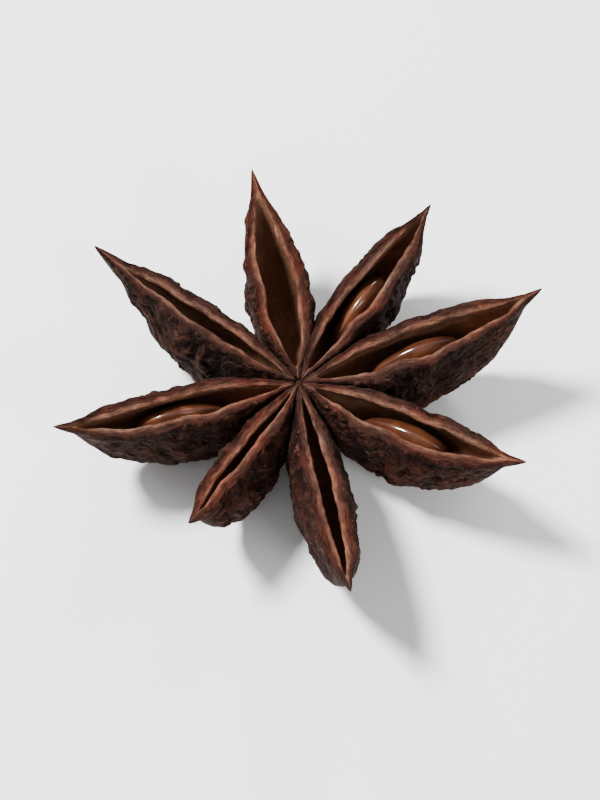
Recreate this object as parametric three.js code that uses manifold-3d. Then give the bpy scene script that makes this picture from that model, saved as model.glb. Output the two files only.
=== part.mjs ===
// A dried star anise pod, in millimetres, +Z up, lying with its open side up.
// Eight boat-shaped carpels are fused round a short column into one husk. Each
// carpel is split along its top, from the star's middle to its beak, and half of
// them hold one loose, glossy seed.
import * as THREE from 'three';
import { mergeVertices } from 'three/addons/utils/BufferGeometryUtils.js';
import Module from 'manifold-3d';

const wasm = await Module();
wasm.setup();

// The eight carpels, counter-clockwise: azimuth and lean in degrees; length from
// the star's middle, outer width, gape of the lips, height of the beak's tip,
// height of the keel's lowest line and sideways hook of the beak in millimetres;
// and taper, from 0 for a blunt belly with a short beak to 1 for a slender one
// with a long beak
const CARPELS = [
  {
    azimuth: 15, length: 17.6, width: 4.5, gape: 2.0, beak: 10.4, keel: -0.1,
    lean: 4, hook: 0.5, taper: 0.3, seed: true,
  },
  {
    azimuth: 57, length: 15.6, width: 4.3, gape: 1.6, beak: 9.4, keel: -0.1,
    lean: -5, hook: -0.4, taper: 0.0, seed: true,
  },
  {
    azimuth: 100, length: 15.4, width: 4.7, gape: 2.2, beak: 10.0, keel: 0.1,
    lean: 3, hook: 0.3, taper: 0.6, seed: false,
  },
  {
    azimuth: 148, length: 16.6, width: 4.0, gape: 0.9, beak: 10.6, keel: -0.1,
    lean: -3, hook: 0.5, taper: 1.0, seed: false,
  },
  {
    azimuth: 195, length: 17.2, width: 4.4, gape: 1.5, beak: 9.8, keel: -0.1,
    lean: 6, hook: -0.5, taper: 0.3, seed: true,
  },
  {
    azimuth: 238, length: 13.4, width: 3.7, gape: 0.5, beak: 8.8, keel: 0.4,
    lean: -6, hook: 0.3, taper: 0.3, seed: false,
  },
  {
    azimuth: 282, length: 16.8, width: 4.0, gape: 0.9, beak: 9.9, keel: -0.1,
    lean: 2, hook: -0.3, taper: 0.2, seed: false,
  },
  {
    azimuth: 333, length: 17.0, width: 4.8, gape: 1.7, beak: 10.8, keel: 0.0,
    lean: -4, hook: 0.6, taper: 0.4, seed: true,
  },
];

// The star's middle: its place in the plan, and its top and underside
const STAR_MIDDLE = new THREE.Vector2(-0.2, 0.6);
const CENTRE_TOP = 6.9;
const CENTRE_BOTTOM = 2.8;
const INNER_RADIUS = 0.1;
const FUSED_SPREAD = 0.47;
const FUSED_BLEND = 5;

// Along a carpel, s runs from 0 at the star's middle to 1 at the beak's tip, and
// each _START, _END or _AT is a value of s
const EVEN_RISE = 0.3;
const SHOULDER_RISE = 0.55;
const SHOULDER_END = 0.85;
const SHOULDER_FULLNESS = 0.8;
const KEEL_LOWEST_AT = 0.47;
const BOAT_WIDEST_AT = 0.44;
const BELLY_END = { blunt: 0.955, slender: 0.86 };
const BELLY_FULLNESS = 2.0;
const BELLY_BLUNTNESS = { blunt: 0.63, slender: 0.95 };
const BOAT_FULLNESS = 1.8;
const BOAT_BLUNTNESS = 0.9;
const BEAK_START = 0.8;
const BEAK_DEPTH = 2.2;
const BEAK_HALF_WIDTH = 0.75;
const BEAK_BLUNTNESS = 0.75;
const BEAK_ONSET = 6;
const LEAN_START = 0.2;
const LEAN_END = 0.7;
const LEAN_PIVOT_HEIGHT = 0.35;

// Across a carpel: its widest place as a share of its depth, its wall, and the
// rounded shoulder between the widest place and the lip
const WIDEST_HEIGHT = 0.55;
const WALL = 0.6;
const SHOULDER_IN = 0.35;
const SHOULDER_UP = 0.6;

// The lips: their width, how far their two edges fall below their crest, and
// where the crest lies between the edges
const LIP_WIDTH = 0.8;
const LIP_WIDTH_INNER = 0.3;
const LIP_WIDENS_UNTIL = 0.33;
const LIP_FALL = 0.3;
const LIP_FALL_OUTSIDE = 1.3;
const CREST_IN = 0.35;

// The split between the lips, a shallow crease where it is shut, and the pocket
// under it where it is open
const SLIT_START = 0.07;
const SLIT_END = { blunt: 0.95, slender: 0.88 };
const SLIT_SKEW = 0.9;
const CREASE_WIDTH_SHARE = 0.05;
const CREASE_DEPTH_SHARE = 0.1;
const CREASE_DEPTH = 0.4;
const GAPE_FULLNESS = 0.8;
const POCKET_FLOOR = 1.9;
const POCKET_OPENS = 0.5;
const POCKET_WIDEST_DEPTH = 0.5;
const POCKET_CORNER = { width: 0.7, depth: 0.88 };

// The dried outside: the depth, number and slant of the folds on a flank, and how
// much the lips wave up and sideways
const FOLD_DEPTH = 0.17;
const FOLD_COUNT = 4.5;
const FOLD_SLANT = 0.3;
const LIP_WAVES = 3.1;
const LIP_WAVE_UP = 0.13;
const LIP_WAVE_SIDEWAYS = 0.14;

// The column in the middle, and the broken stub of the stalk below it
const COLUMN_RADIUS = 1.7;
const COLUMN_SINK = 0.15;
const COLUMN_TOP_RADIUS = 0.45;
const STUB_RADIUS = 0.95;
const STUB_END = 1.1;
const COLUMN_SIDES = 16;

// A seed: its place and length as shares of the carpel's length, its thickness
// as a share of the carpel's width, its height, the height of its lowest line
// over the keel, the upward pitch of its outer end in degrees, and how much
// thinner its inner end is
const SEED_AT = 0.485;
const SEED_LENGTH_SHARE = 0.4;
const SEED_THICKNESS_SHARE = 0.49;
const SEED_HEIGHT = 4.6;
const SEED_REST = 2.7;
const SEED_PITCH = 9;
const SEED_NARROWING = 0.12;

// Mesh resolution: points round half a cross-section, and rows of them
const HALF_RING = 11;
const FLANK_STEPS = 4;
const STATIONS = 26;
const END_CROWDING = 0.3;
const SEED_SIDES = 14;
const SEED_ROWS = 10;

const rad = THREE.MathUtils.degToRad;
const mix = THREE.MathUtils.lerp;
const clamp01 = (value) => THREE.MathUtils.clamp(value, 0, 1);

// A rounded fall from 1 to 0 as t goes from 0 to 1
function roundOff(t, fullness, bluntness) {
  return (1 - clamp01(t) ** fullness) ** bluntness;
}

// A carpel's own value between one for a blunt belly and one for a slender one
function tapered(carpel, value) {
  return mix(value.blunt, value.slender, carpel.taper);
}

// The smaller of two widths, with a soft change from one to the other
function softMin(a, b) {
  return (a ** -FUSED_BLEND + b ** -FUSED_BLEND) ** (-1 / FUSED_BLEND);
}

// Uneven waves along one side of a carpel, from -1 to 1, unlike on any two sides
function waves(carpel, side, turns) {
  const phase = rad(carpel.azimuth) * (2 + side);
  const slow = Math.sin(2 * Math.PI * turns + phase);
  const quick = Math.sin(2 * Math.PI * 1.7 * turns + 2.3 * phase);
  return 0.6 * slow + 0.4 * quick;
}

// The beak's own thickness at s, as a share: full where it starts, rounded off
// at its tip, and nothing inside the belly
function beakAt(s) {
  const narrowing = clamp01((1 - s) / (1 - BEAK_START)) ** BEAK_BLUNTNESS;
  return narrowing * clamp01(s / BEAK_START) ** BEAK_ONSET;
}

// Height of the split line
function splitHeight(carpel, s) {
  const rise = EVEN_RISE * s + (1 - EVEN_RISE) * s ** 3;
  const shoulder = Math.sin(Math.PI * clamp01(s / SHOULDER_END)) ** SHOULDER_FULLNESS;
  return mix(CENTRE_TOP, carpel.beak, rise) + SHOULDER_RISE * shoulder;
}

// Depth of the carpel under its split line: a rounded belly, then a thin beak
function depthAt(carpel, s) {
  const inward = clamp01(1 - s / KEEL_LOWEST_AT);
  const outward = (s - KEEL_LOWEST_AT) / (tapered(carpel, BELLY_END) - KEEL_LOWEST_AT);
  const ending = roundOff(outward, BELLY_FULLNESS, tapered(carpel, BELLY_BLUNTNESS));
  const fullDepth = splitHeight(carpel, s) - carpel.keel;
  const belly = (fullDepth - CENTRE_BOTTOM * inward ** 2) * ending;
  return Math.hypot(belly, BEAK_DEPTH * beakAt(s));
}

// Half the carpel's outer width: a wedge near the middle, a boat beyond it
function halfWidthAt(carpel, s) {
  const wedge = FUSED_SPREAD * mix(INNER_RADIUS, carpel.length, s);
  const outward = (s - BOAT_WIDEST_AT) / (tapered(carpel, BELLY_END) - BOAT_WIDEST_AT);
  const boat = 0.5 * carpel.width * roundOff(outward, BOAT_FULLNESS, BOAT_BLUNTNESS);
  const body = boat > 0 ? softMin(wedge, boat) : 0;
  return Math.hypot(body, BEAK_HALF_WIDTH * beakAt(s));
}

// How far the split is open at s: 0 at its two ends, 1 a little outward of halfway
function openness(carpel, s) {
  const along = clamp01((s - SLIT_START) / (tapered(carpel, SLIT_END) - SLIT_START));
  return Math.sin(Math.PI * along ** SLIT_SKEW);
}

// How far a flank stands out at s, and at a share of its height, from its smooth
// shape: folds that slant from keel to lip and die out at the carpel's two ends
function foldAt(carpel, side, s, heightShare) {
  const turns = FOLD_COUNT * s + FOLD_SLANT * heightShare;
  return FOLD_DEPTH * waves(carpel, side, turns) * Math.sin(Math.PI * s);
}

// One point of the cross-section at s, as [sideways, height]. Place 0 is the
// keel, then come the flank, the lip and, last, the middle of the pocket's floor
function sectionPoint(carpel, s, side, place) {
  const top = splitHeight(carpel, s);
  const depth = depthAt(carpel, s);
  const halfWidth = halfWidthAt(carpel, s);
  const widest = top - depth + WIDEST_HEIGHT * depth;
  if (place <= FLANK_STEPS) {
    const angle = place / FLANK_STEPS * Math.PI / 2;
    const flank = halfWidth + foldAt(carpel, side, s, place / FLANK_STEPS);
    return [flank * Math.sin(angle), mix(widest, top - depth, Math.cos(angle))];
  }
  const open = openness(carpel, s);
  const wave = waves(carpel, side, LIP_WAVES * s);
  const gape = carpel.gape * open ** GAPE_FULLNESS * (1 - LIP_WAVE_SIDEWAYS * wave);
  const halfGape = CREASE_WIDTH_SHARE * halfWidth + 0.5 * gape;
  const lipWidth = mix(LIP_WIDTH_INNER, LIP_WIDTH, clamp01(s / LIP_WIDENS_UNTIL));
  const lipEdge = Math.min(halfGape + Math.min(lipWidth, 0.8 * halfWidth), 0.97 * halfWidth);
  const crease = Math.min(CREASE_DEPTH_SHARE * depth, CREASE_DEPTH);
  const opened = open ** POCKET_OPENS;
  const pocketDepth = crease + Math.max(0, depth - POCKET_FLOOR) * opened;
  const pocketHalfWidth = mix(halfGape, Math.max(halfGape, halfWidth - WALL), opened);
  const lipFall = Math.min(LIP_FALL, 0.3 * pocketDepth);
  const crest = top + LIP_WAVE_UP * open * wave;
  const shoulderHeight = mix(widest, crest - lipFall, SHOULDER_UP);
  const flank = halfWidth + foldAt(carpel, side, s, 1);
  const rest = [
    [mix(flank, lipEdge, SHOULDER_IN), shoulderHeight],
    [lipEdge, crest - LIP_FALL_OUTSIDE * lipFall],
    [mix(lipEdge, halfGape, CREST_IN), crest],
    [halfGape, crest - lipFall],
    [pocketHalfWidth, top - POCKET_WIDEST_DEPTH * pocketDepth],
    [POCKET_CORNER.width * pocketHalfWidth, top - POCKET_CORNER.depth * pocketDepth],
    [0, top - pocketDepth],
  ];
  return rest[place - FLANK_STEPS - 1];
}

// A carpel's point in the pod: leaned, hooked, then turned to its azimuth
function placeOnStar(carpel, s, sideways, height) {
  const lean = rad(carpel.lean) * clamp01((s - LEAN_START) / (LEAN_END - LEAN_START));
  const lever = height - LEAN_PIVOT_HEIGHT * splitHeight(carpel, s);
  const across = sideways * Math.cos(lean) + lever * Math.sin(lean) + carpel.hook * s ** 3;
  const up = height - sideways * Math.sin(lean);
  const out = mix(INNER_RADIUS, carpel.length, s);
  const azimuth = rad(carpel.azimuth);
  const x = STAR_MIDDLE.x + out * Math.cos(azimuth) - across * Math.sin(azimuth);
  const y = STAR_MIDDLE.y + out * Math.sin(azimuth) + across * Math.cos(azimuth);
  return new THREE.Vector3(x, y, up);
}

// A closed carpel: a sphere's rows become cross-sections, its poles the two ends
function carpelGeometry(carpel) {
  const ring = 2 * HALF_RING;
  const sphere = new THREE.SphereGeometry(1, ring, STATIONS);
  const position = sphere.attributes.position;
  const uv = sphere.attributes.uv;
  for (let i = 0; i < position.count; i += 1) {
    const row = 1 - uv.getY(i);
    const s = mix(row, 0.5 - 0.5 * Math.cos(Math.PI * row), END_CROWDING);
    const step = Math.round(uv.getX(i) * ring) % ring;
    const place = Math.min(step, ring - step);
    const side = step <= HALF_RING ? -1 : 1;
    const isEnd = row === 0 || row === 1;
    const endHeight = splitHeight(carpel, s) - 0.5 * depthAt(carpel, s);
    const [sideways, height] = isEnd ? [0, endHeight] : sectionPoint(carpel, s, side, place);
    const point = placeOnStar(carpel, s, side * sideways, height);
    position.setXYZ(i, point.x, point.y, point.z);
  }
  return sphere;
}

// The column that joins the carpels, with the stub of the stalk under it
function columnGeometry() {
  const top = CENTRE_TOP - COLUMN_SINK;
  const profile = [
    new THREE.Vector2(0, STUB_END),
    new THREE.Vector2(STUB_RADIUS, STUB_END + 0.2),
    new THREE.Vector2(0.9 * STUB_RADIUS, CENTRE_BOTTOM),
    new THREE.Vector2(COLUMN_RADIUS, CENTRE_BOTTOM + 0.8),
    new THREE.Vector2(COLUMN_RADIUS, top - 1.5),
    new THREE.Vector2(COLUMN_TOP_RADIUS, top - 0.2),
    new THREE.Vector2(0, top),
  ];
  const column = new THREE.LatheGeometry(profile, COLUMN_SIDES);
  column.rotateX(Math.PI / 2);
  column.translate(STAR_MIDDLE.x, STAR_MIDDLE.y, 0);
  return column;
}

// A seed in its carpel: flattened sideways, thinner at its inner end
function seedGeometry(carpel) {
  const seed = new THREE.SphereGeometry(0.5, SEED_SIDES, SEED_ROWS);
  seed.rotateZ(-Math.PI / 2);
  const position = seed.attributes.position;
  const keelHeight = splitHeight(carpel, SEED_AT) - depthAt(carpel, SEED_AT);
  const middle = keelHeight + SEED_REST + 0.5 * SEED_HEIGHT;
  const pitch = rad(SEED_PITCH);
  for (let i = 0; i < position.count; i += 1) {
    const girth = 1 + 2 * SEED_NARROWING * position.getX(i);
    const along = SEED_LENGTH_SHARE * carpel.length * position.getX(i);
    const sideways = SEED_THICKNESS_SHARE * carpel.width * girth * position.getY(i);
    const above = SEED_HEIGHT * girth * position.getZ(i);
    const out = along * Math.cos(pitch) - above * Math.sin(pitch);
    const height = middle + along * Math.sin(pitch) + above * Math.cos(pitch);
    const s = SEED_AT + out / (carpel.length - INNER_RADIUS);
    const point = placeOnStar(carpel, s, sideways, height);
    position.setXYZ(i, point.x, point.y, point.z);
  }
  return seed;
}

// A closed geometry as a solid that can be joined and cut
function toSolid(geometry) {
  const bare = geometry.clone();
  bare.deleteAttribute('normal');
  bare.deleteAttribute('uv');
  const merged = mergeVertices(bare, 1e-5);
  const vertProperties = new Float32Array(merged.attributes.position.array);
  const triVerts = new Uint32Array(merged.index.array);
  return new wasm.Manifold(new wasm.Mesh({ numProp: 3, vertProperties, triVerts }));
}

// A joined solid as a geometry again
function toGeometry(solid) {
  const mesh = solid.getMesh();
  const geometry = new THREE.BufferGeometry();
  geometry.setAttribute('position', new THREE.BufferAttribute(mesh.vertProperties, 3));
  geometry.setIndex(new THREE.BufferAttribute(mesh.triVerts, 1));
  geometry.computeVertexNormals();
  return geometry;
}

// The husk: the column and all carpels as one solid, worn flat where it rests
function huskGeometry() {
  let husk = toSolid(columnGeometry());
  for (const carpel of CARPELS) {
    husk = husk.add(toSolid(carpelGeometry(carpel)));
  }
  const underFloor = new THREE.BoxGeometry(60, 60, 4);
  underFloor.translate(0, 0, -2);
  return toGeometry(husk.subtract(toSolid(underFloor)));
}

const huskMaterial = new THREE.MeshStandardMaterial({ color: 0x4a2820, roughness: 0.75, metalness: 0 });
const seedMaterial = new THREE.MeshStandardMaterial({ color: 0x6e3a1c, roughness: 0.2, metalness: 0 });

const pod = new THREE.Group();

const husk = new THREE.Mesh(huskGeometry(), huskMaterial);
husk.name = 'husk';
pod.add(husk);

CARPELS.filter((carpel) => carpel.seed).forEach((carpel, index) => {
  const seed = new THREE.Mesh(seedGeometry(carpel), seedMaterial);
  seed.name = `seed_${index + 1}`;
  pod.add(seed);
});

export default pod;
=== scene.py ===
"""A dried star anise pod: a wrinkled, woody husk of eight split carpels, and four glossy seeds."""
import math

import bpy
import numpy as np
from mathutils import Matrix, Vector, noise
from mathutils.kdtree import KDTree


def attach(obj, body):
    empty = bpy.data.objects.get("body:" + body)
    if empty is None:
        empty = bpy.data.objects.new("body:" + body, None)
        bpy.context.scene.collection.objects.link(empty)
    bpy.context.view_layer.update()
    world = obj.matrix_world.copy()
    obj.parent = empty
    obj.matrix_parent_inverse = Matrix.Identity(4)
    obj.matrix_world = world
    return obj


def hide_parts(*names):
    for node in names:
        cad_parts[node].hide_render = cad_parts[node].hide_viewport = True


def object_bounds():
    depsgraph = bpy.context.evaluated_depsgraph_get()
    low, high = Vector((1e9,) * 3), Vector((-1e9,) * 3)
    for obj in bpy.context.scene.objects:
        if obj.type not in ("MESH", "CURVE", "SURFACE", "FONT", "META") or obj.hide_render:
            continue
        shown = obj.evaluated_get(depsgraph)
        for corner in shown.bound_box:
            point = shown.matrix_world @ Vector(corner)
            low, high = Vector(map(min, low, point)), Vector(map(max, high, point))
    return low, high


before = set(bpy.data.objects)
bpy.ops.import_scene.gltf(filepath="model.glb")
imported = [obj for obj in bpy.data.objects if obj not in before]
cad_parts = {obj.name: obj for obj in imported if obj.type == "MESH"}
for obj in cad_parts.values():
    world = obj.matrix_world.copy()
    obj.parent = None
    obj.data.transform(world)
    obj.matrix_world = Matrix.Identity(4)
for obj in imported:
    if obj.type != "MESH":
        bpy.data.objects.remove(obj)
cad_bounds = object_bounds()

MM = 0.001

# The shapes are in millimetres, as in the solid

# The eight carpels, counter-clockwise: azimuth and lean in degrees; length from the star's middle,
# outer width, gape of the lips, height of the beak's tip, height of the keel's lowest line and sideways
# hook of the beak; and taper, from 0 for a blunt belly with a short beak to 1 for a slender one with a
# long beak
CARPELS = [
    dict(
        azimuth=15, length=17.6, width=4.5, gape=2.0, beak=10.4, keel=-0.1,
        lean=4, hook=0.5, taper=0.3, seed=True,
    ),
    dict(
        azimuth=57, length=15.6, width=4.3, gape=1.6, beak=9.4, keel=-0.1,
        lean=-5, hook=-0.4, taper=0.0, seed=True,
    ),
    dict(
        azimuth=100, length=15.4, width=4.7, gape=2.2, beak=10.0, keel=0.1,
        lean=3, hook=0.3, taper=0.6, seed=False,
    ),
    dict(
        azimuth=148, length=16.6, width=4.0, gape=0.9, beak=10.6, keel=-0.1,
        lean=-3, hook=0.5, taper=1.0, seed=False,
    ),
    dict(
        azimuth=195, length=17.2, width=4.4, gape=1.5, beak=9.8, keel=-0.1,
        lean=6, hook=-0.5, taper=0.3, seed=True,
    ),
    dict(
        azimuth=238, length=13.4, width=3.7, gape=0.5, beak=8.8, keel=0.4,
        lean=-6, hook=0.3, taper=0.3, seed=False,
    ),
    dict(
        azimuth=282, length=16.8, width=4.0, gape=0.9, beak=9.9, keel=-0.1,
        lean=2, hook=-0.3, taper=0.2, seed=False,
    ),
    dict(
        azimuth=333, length=17.0, width=4.8, gape=1.7, beak=10.8, keel=0.0,
        lean=-4, hook=0.6, taper=0.4, seed=True,
    ),
]

# The star's middle: its place in the plan, its top and underside, and how the carpels fuse there
STAR_X, STAR_Y = -0.2, 0.6
CENTRE_TOP = 6.9
CENTRE_BOTTOM = 2.8
INNER_RADIUS = 0.1
FUSED_SPREAD = 0.47
FUSED_BLEND = 5

# Along a carpel, s runs from 0 at the star's middle to 1 at the beak's tip. A pair gives a value for a
# blunt belly, then one for a slender belly
EVEN_RISE = 0.3
SHOULDER_RISE = 0.55
SHOULDER_END = 0.85
SHOULDER_FULLNESS = 0.8
KEEL_LOWEST_AT = 0.47
BOAT_WIDEST_AT = 0.44
BELLY_END = (0.955, 0.86)
BELLY_FULLNESS = 2.0
BELLY_BLUNTNESS = (0.63, 0.95)
BOAT_FULLNESS = 1.8
BOAT_BLUNTNESS = 0.9
BEAK_START = 0.8
BEAK_DEPTH = 2.2
BEAK_HALF_WIDTH = 0.75
BEAK_BLUNTNESS = 0.75
BEAK_ONSET = 6
LEAN_START = 0.2
LEAN_END = 0.7
LEAN_PIVOT_HEIGHT = 0.35

# Across a carpel: its widest place, its wall and its shoulder
WIDEST_HEIGHT = 0.55
WALL = 0.6
SHOULDER_IN = 0.35
SHOULDER_UP = 0.6

# The lips, and the shares of the half width and of the pocket's depth that they stay within
LIP_WIDTH = 0.8
LIP_WIDTH_INNER = 0.3
LIP_WIDENS_UNTIL = 0.33
LIP_WIDTH_LIMIT = 0.8
LIP_EDGE_LIMIT = 0.97
LIP_FALL = 0.3
LIP_FALL_LIMIT = 0.3
LIP_FALL_OUTSIDE = 1.3
CREST_IN = 0.35

# The split, and the pocket under it
SLIT_START = 0.07
SLIT_END = (0.95, 0.88)
SLIT_SKEW = 0.9
CREASE_WIDTH_SHARE = 0.05
CREASE_DEPTH_SHARE = 0.1
CREASE_DEPTH = 0.4
GAPE_FULLNESS = 0.8
POCKET_FLOOR = 1.9
POCKET_OPENS = 0.5
POCKET_WIDEST_DEPTH = 0.5
POCKET_CORNER = (0.7, 0.88)

# The flanks' broad folds and the lips' waves, each a slow wave with a quicker one on it
FOLD_DEPTH = 0.17
FOLD_COUNT = 4.5
FOLD_SLANT = 0.3
LIP_WAVES = 3.1
LIP_WAVE_UP = 0.13
LIP_WAVE_SIDEWAYS = 0.14
SLOW_WAVE = 0.6
QUICK_WAVE = 0.4
QUICK_WAVE_TURNS = 1.7
QUICK_WAVE_PHASE = 2.3

# Places round half a cross-section, from 0 at the keel to the middle of the pocket's floor, and how
# many mesh steps lead from each one to the next
WIDEST, LIP_OUTER, CREST, LIP_INNER, FLOOR = 4, 6, 7, 8, 11
STEPS_FROM_PLACE = [9, 9, 9, 9, 9, 6, 5, 5, 5, 3, 3]

# Rows of points along a carpel, and how far they crowd towards its tip
STATIONS = 88
TIP_CROWDING = 0.35

# Keep divisions and powers clear of zero
TINY = 1e-6
TINY_AREA = 1e-9


def clamp01(value):
    return np.clip(value, 0.0, 1.0)


def mix(a, b, t):
    return a + (b - a) * t


def smooth_step(low, high, value):
    t = clamp01((value - low) / (high - low))
    return t * t * (3 - 2 * t)


def noise_at(points, scale=(1, 1, 1), offset=(0, 0, 0)):
    """Smooth noise from -1 to 1 at each point, with one noise cell every 1 / scale."""
    scaled = points * np.array(scale) + np.array(offset)
    values = [noise.noise(Vector(p)) for p in scaled.reshape(-1, 3)]
    return np.array(values).reshape(points.shape[:-1])


# --- the carpel's shape, as in the solid ---


def round_off(t, fullness, bluntness):
    """A rounded fall from 1 to 0 as t goes from 0 to 1."""
    return (1 - clamp01(t) ** fullness) ** bluntness


def tapered(carpel, values):
    """A carpel's own value between one for a blunt belly and one for a slender one."""
    blunt, slender = values
    return mix(blunt, slender, carpel["taper"])


def soft_min(a, b):
    """The smaller of two widths, with a soft change from one to the other."""
    return (a ** -float(FUSED_BLEND) + b ** -float(FUSED_BLEND)) ** (-1 / FUSED_BLEND)


def waves(carpel, side, turns):
    """Uneven waves along one side of a carpel, from -1 to 1, unlike on any two sides."""
    phase = math.radians(carpel["azimuth"]) * (2 + side)
    slow = np.sin(2 * math.pi * turns + phase)
    quick = np.sin(2 * math.pi * QUICK_WAVE_TURNS * turns + QUICK_WAVE_PHASE * phase)
    return SLOW_WAVE * slow + QUICK_WAVE * quick


def beak_at(s):
    """The beak's own thickness, as a share: full where it starts, and nothing inside the belly."""
    narrowing = clamp01((1 - s) / (1 - BEAK_START)) ** BEAK_BLUNTNESS
    return narrowing * clamp01(s / BEAK_START) ** BEAK_ONSET


def split_height(carpel, s):
    """Height of the split line."""
    rise = EVEN_RISE * s + (1 - EVEN_RISE) * s**3
    shoulder = np.maximum(np.sin(math.pi * clamp01(s / SHOULDER_END)), 0) ** SHOULDER_FULLNESS
    return mix(CENTRE_TOP, carpel["beak"], rise) + SHOULDER_RISE * shoulder


def depth_at(carpel, s):
    """Depth of the carpel under its split line: a rounded belly, then a thin beak."""
    inward = clamp01(1 - s / KEEL_LOWEST_AT)
    outward = (s - KEEL_LOWEST_AT) / (tapered(carpel, BELLY_END) - KEEL_LOWEST_AT)
    ending = round_off(outward, BELLY_FULLNESS, tapered(carpel, BELLY_BLUNTNESS))
    full_depth = split_height(carpel, s) - carpel["keel"]
    belly = (full_depth - CENTRE_BOTTOM * inward**2) * ending
    return np.hypot(belly, BEAK_DEPTH * beak_at(s))


def half_width_at(carpel, s):
    """Half the carpel's outer width: a wedge near the middle, a boat beyond it."""
    wedge = FUSED_SPREAD * mix(INNER_RADIUS, carpel["length"], s)
    outward = (s - BOAT_WIDEST_AT) / (tapered(carpel, BELLY_END) - BOAT_WIDEST_AT)
    boat = 0.5 * carpel["width"] * round_off(outward, BOAT_FULLNESS, BOAT_BLUNTNESS)
    return np.hypot(soft_min(wedge, np.maximum(boat, TINY)), BEAK_HALF_WIDTH * beak_at(s))


def openness(carpel, s):
    """How far the split is open: 0 at its two ends, 1 a little outward of halfway."""
    along = clamp01((s - SLIT_START) / (tapered(carpel, SLIT_END) - SLIT_START))
    return np.maximum(np.sin(math.pi * along**SLIT_SKEW), 0)


def fold_at(carpel, side, s, height_share):
    """How far a flank's folds stand out, at a share of its height."""
    turns = FOLD_COUNT * s + FOLD_SLANT * height_share
    return FOLD_DEPTH * waves(carpel, side, turns) * np.sin(math.pi * s)


def section_controls(carpel, s, side, ragged_in, ragged_up):
    """The 12 places of half the cross-section at each s, as (stations, 12, 2), with a ragged lip."""
    top = split_height(carpel, s)
    depth = depth_at(carpel, s)
    half_width = half_width_at(carpel, s)
    widest = top - depth + WIDEST_HEIGHT * depth
    opened = openness(carpel, s)
    wave = waves(carpel, side, LIP_WAVES * s)
    gape = carpel["gape"] * opened**GAPE_FULLNESS * (1 - LIP_WAVE_SIDEWAYS * wave)
    half_gape = CREASE_WIDTH_SHARE * half_width + np.maximum(0.5 * gape - ragged_in, 0)
    lip_width = mix(LIP_WIDTH_INNER, LIP_WIDTH, clamp01(s / LIP_WIDENS_UNTIL))
    lip_edge = half_gape + np.minimum(lip_width, LIP_WIDTH_LIMIT * half_width)
    lip_edge = np.minimum(lip_edge, LIP_EDGE_LIMIT * half_width)
    crease = np.minimum(CREASE_DEPTH_SHARE * depth, CREASE_DEPTH)
    pocket_depth = crease + np.maximum(0, depth - POCKET_FLOOR) * opened**POCKET_OPENS
    pocket_half_width = mix(half_gape, np.maximum(half_gape, half_width - WALL), opened**POCKET_OPENS)
    lip_fall = np.minimum(LIP_FALL, LIP_FALL_LIMIT * pocket_depth)
    crest = top + LIP_WAVE_UP * opened * wave + ragged_up
    points = []
    for place in range(WIDEST + 1):
        angle = place / WIDEST * math.pi / 2
        flank = half_width + fold_at(carpel, side, s, place / WIDEST)
        points.append((flank * math.sin(angle), mix(widest, top - depth, math.cos(angle))))
    corner_width, corner_depth = POCKET_CORNER
    points += [
        (mix(flank, lip_edge, SHOULDER_IN), mix(widest, crest - lip_fall, SHOULDER_UP)),
        (lip_edge, crest - LIP_FALL_OUTSIDE * lip_fall),
        (mix(lip_edge, half_gape, CREST_IN), crest),
        (half_gape, crest - lip_fall),
        (pocket_half_width, top - POCKET_WIDEST_DEPTH * pocket_depth),
        (corner_width * pocket_half_width, top - corner_depth * pocket_depth),
        (0 * top, top - pocket_depth),
    ]
    return np.stack([np.stack(point, axis=-1) for point in points], axis=1)


def knot_gap(a, b):
    """The spacing of two control points that keeps the curve through them free of loops."""
    return np.sqrt(np.linalg.norm(b - a, axis=-1, keepdims=True)) + TINY


def through_controls(controls, places):
    """A smooth curve through each station's control points, mirrored past its ends, at the places."""
    flip = np.array([-1, 1])
    padded = np.concatenate([controls[:, 1:2] * flip, controls, controls[:, -2:-1] * flip], axis=1)
    index = np.minimum(places.astype(int), FLOOR - 1)
    t = (places - index)[None, :, None]
    p0, p1, p2, p3 = (padded[:, index + k] for k in range(4))
    d1, d2, d3 = knot_gap(p0, p1), knot_gap(p1, p2), knot_gap(p2, p3)
    m1 = d2 * ((p1 - p0) / d1 - (p2 - p0) / (d1 + d2) + (p2 - p1) / d2)
    m2 = d2 * ((p2 - p1) / d2 - (p3 - p1) / (d2 + d3) + (p3 - p2) / d3)
    return (
        p1 * (2 * t**3 - 3 * t**2 + 1)
        + m1 * (t**3 - 2 * t**2 + t)
        + p2 * (3 * t**2 - 2 * t**3)
        + m2 * (t**3 - t**2)
    )


def place_on_star(carpel, s, sideways, height):
    """A carpel's points in the pod: leaned, hooked, then turned to its azimuth."""
    lean = math.radians(carpel["lean"]) * clamp01((s - LEAN_START) / (LEAN_END - LEAN_START))
    lever = height - LEAN_PIVOT_HEIGHT * split_height(carpel, s)
    across = sideways * np.cos(lean) + lever * np.sin(lean) + carpel["hook"] * s**3
    up = height - sideways * np.sin(lean)
    out = mix(INNER_RADIUS, carpel["length"], s)
    azimuth = math.radians(carpel["azimuth"])
    x = STAR_X + out * math.cos(azimuth) - across * math.sin(azimuth)
    y = STAR_Y + out * math.sin(azimuth) + across * math.cos(azimuth)
    return np.stack([x, y, up], axis=-1)


# --- relief ---

# What the husk's material reads at each point: its shares of lip, pale rim, inside and of painted shade
# towards the pocket's floor, its relief in shares of RELIEF_SPAN, its carpel's tone, and its distances
# along the carpel and inward from the lip's edge
MARKS = ("lip", "rim", "inside", "pocket_shade", "relief", "tone", "along", "inward")
CARPEL_TONES = (0.55, 0.25, 0.8, 0.35, 0.5, 0.7, 0.3, 0.6)
COLUMN_TONE = 0.5
RELIEF_SPAN = 0.3

# The most that the relief stands out or in
RELIEF_LIMIT = 0.26

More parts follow.
